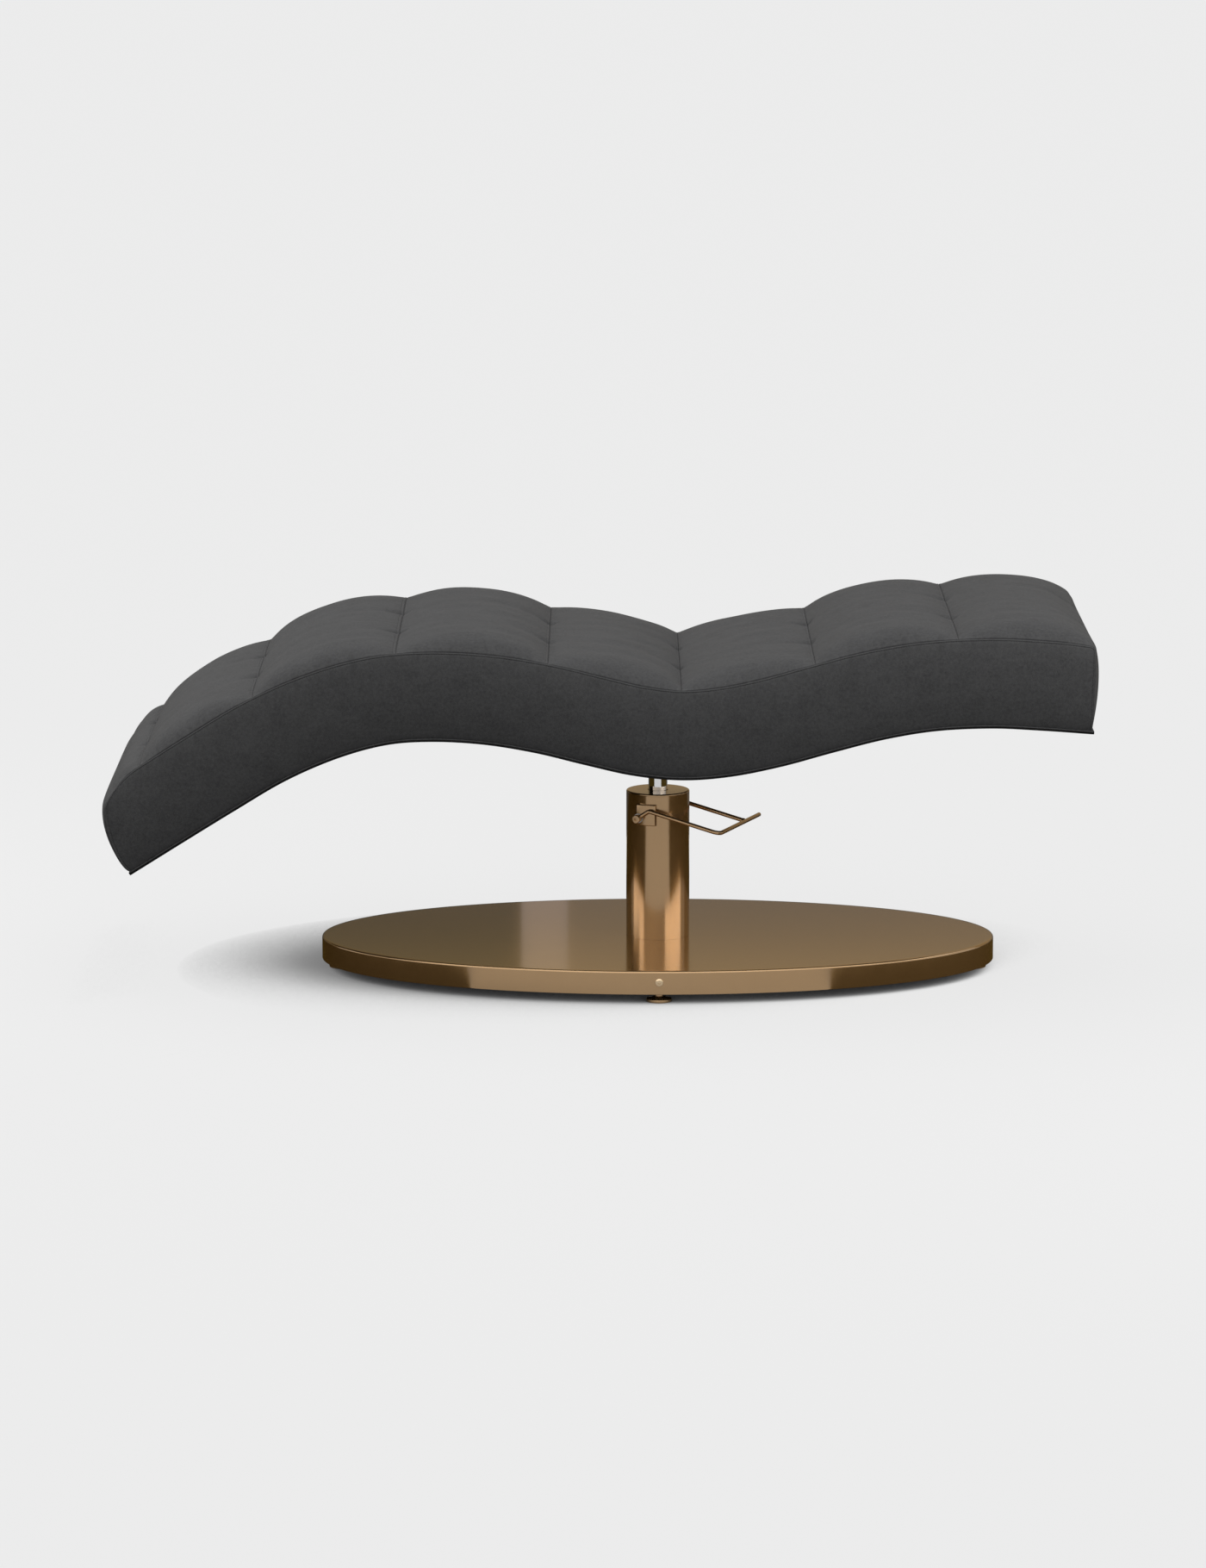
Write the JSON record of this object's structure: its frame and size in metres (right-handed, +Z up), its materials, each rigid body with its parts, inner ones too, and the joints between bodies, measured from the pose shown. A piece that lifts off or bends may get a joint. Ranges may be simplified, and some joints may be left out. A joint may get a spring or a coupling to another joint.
{
  "type": "eyelash extension bed",
  "caption": "Wave-shaped channelled treatment bed on a hydraulic column with a forked pump lever, a full swivel and a low oval base on levelling feet.",
  "frame": {"origin": "on the floor, under the middle of the bed's length and width", "axes": "+Z up, +X from the foot end to the head end, -Y towards the picture's near side"},
  "size_m": [1.846, 0.72, 0.7135],
  "materials": {
    "bronze": "bronze-coated steel, satin with soft vertical reflections",
    "chrome": "polished chrome",
    "steel": "plain zinc-plated steel",
    "black_steel": "black powder coat",
    "rubber": "matte",
    "bearing_bronze": "machined bearing bronze",
    "upholstery": "charcoal nubuck-like upholstery over foam",
    "board": "black-stained bent board",
    "plywood": "raw plywood"
  },
  "bodies": {
    "base": {"base_cover": "bronze", "base_plate": "black_steel", "rim_bracket_front": "steel", "rim_bracket_back": "steel", "cover_screw_front": "bronze", "cover_screw_back": "bronze", "foot_nut_front": "steel", "foot_nut_back": "steel", "foot_nut_left": "steel", "foot_nut_right": "steel", "pump_flange": "steel", "flange_bolt_1": "steel", "flange_bolt_2": "steel", "flange_bolt_3": "steel", "flange_bolt_4": "steel", "pump_reservoir": "steel", "pump_cylinder": "steel", "pump_head": "steel", "piston_seal": "rubber", "column_cover": "bronze", "column_cap": "bronze", "lever_boss_near": "bronze", "lever_boss_far": "bronze", "lever_washer_near": "steel", "lever_washer_far": "steel"},
    "ram": {"lift_piston": "chrome", "piston_guide": "bearing_bronze", "swivel_washer": "bearing_bronze"},
    "bed": {"swivel_hub": "black_steel", "seat_plate": "black_steel", "seat_bolt_1": "steel", "seat_bolt_2": "steel", "seat_bolt_3": "steel", "seat_bolt_4": "steel", "mount_block": "plywood", "bottom_board": "board", "side_rib_near": "plywood", "side_rib_far": "plywood", "cross_rail_1": "plywood", "cross_rail_2": "plywood", "cross_rail_3": "plywood", "cross_rail_4": "plywood", "cross_rail_5": "plywood", "cross_rail_6": "plywood", "foam_deck": "plywood", "bed_cushion": "upholstery"},
    "lever": {"lever_bar": "bronze", "lever_far_arm": "bronze", "lever_bolt_near": "bronze", "lever_bolt_far": "bronze", "pump_cam": "steel"},
    "plunger": {"pump_plunger": "steel", "plunger_spring": "steel"},
    "levelling_foot_front": {"foot_front": "bronze"},
    "levelling_foot_back": {"foot_back": "bronze"},
    "levelling_foot_left": {"foot_left": "bronze"},
    "levelling_foot_right": {"foot_right": "bronze"}
  },
  "joints": [
    {"name": "height_lift", "type": "slide", "parent": "base", "child": "ram", "axis": [0, 0, 1], "range_m": [0, 0.15]},
    {"name": "bed_swivel", "type": "hinge", "parent": "ram", "child": "bed", "pos_m": [0.109, 0, 0.3689], "axis": [0, 0, 1], "continuous": true},
    {"name": "pump_lever", "type": "hinge", "parent": "base", "child": "lever", "pos_m": [0.09597, 0.00513, 0.298], "axis": [0.3665, 0.9304, 0], "range_deg": [-10, 25], "stiffness_Nm_per_rad": 40, "springref_deg": -0.34},
    {"name": "pump_plunger_slide", "type": "slide", "parent": "base", "child": "plunger", "axis": [0, 0, -1], "range_m": [-0.0045, 0.0108], "deforming": ["plunger_spring"]},
    {"name": "foot_front_screw", "type": "slide", "parent": "base", "child": "levelling_foot_front", "axis": [0, 0, -1], "range_m": [0, 0.012]},
    {"name": "foot_back_screw", "type": "slide", "parent": "base", "child": "levelling_foot_back", "axis": [0, 0, -1], "range_m": [0, 0.012]},
    {"name": "foot_left_screw", "type": "slide", "parent": "base", "child": "levelling_foot_left", "axis": [0, 0, -1], "range_m": [0, 0.012]},
    {"name": "foot_right_screw", "type": "slide", "parent": "base", "child": "levelling_foot_right", "axis": [0, 0, -1], "range_m": [0, 0.012]}
  ],
  "couplings": [
    {"joint": "pump_plunger_slide", "follows": "pump_lever", "m_per_rad": 0.0245}
  ]
}
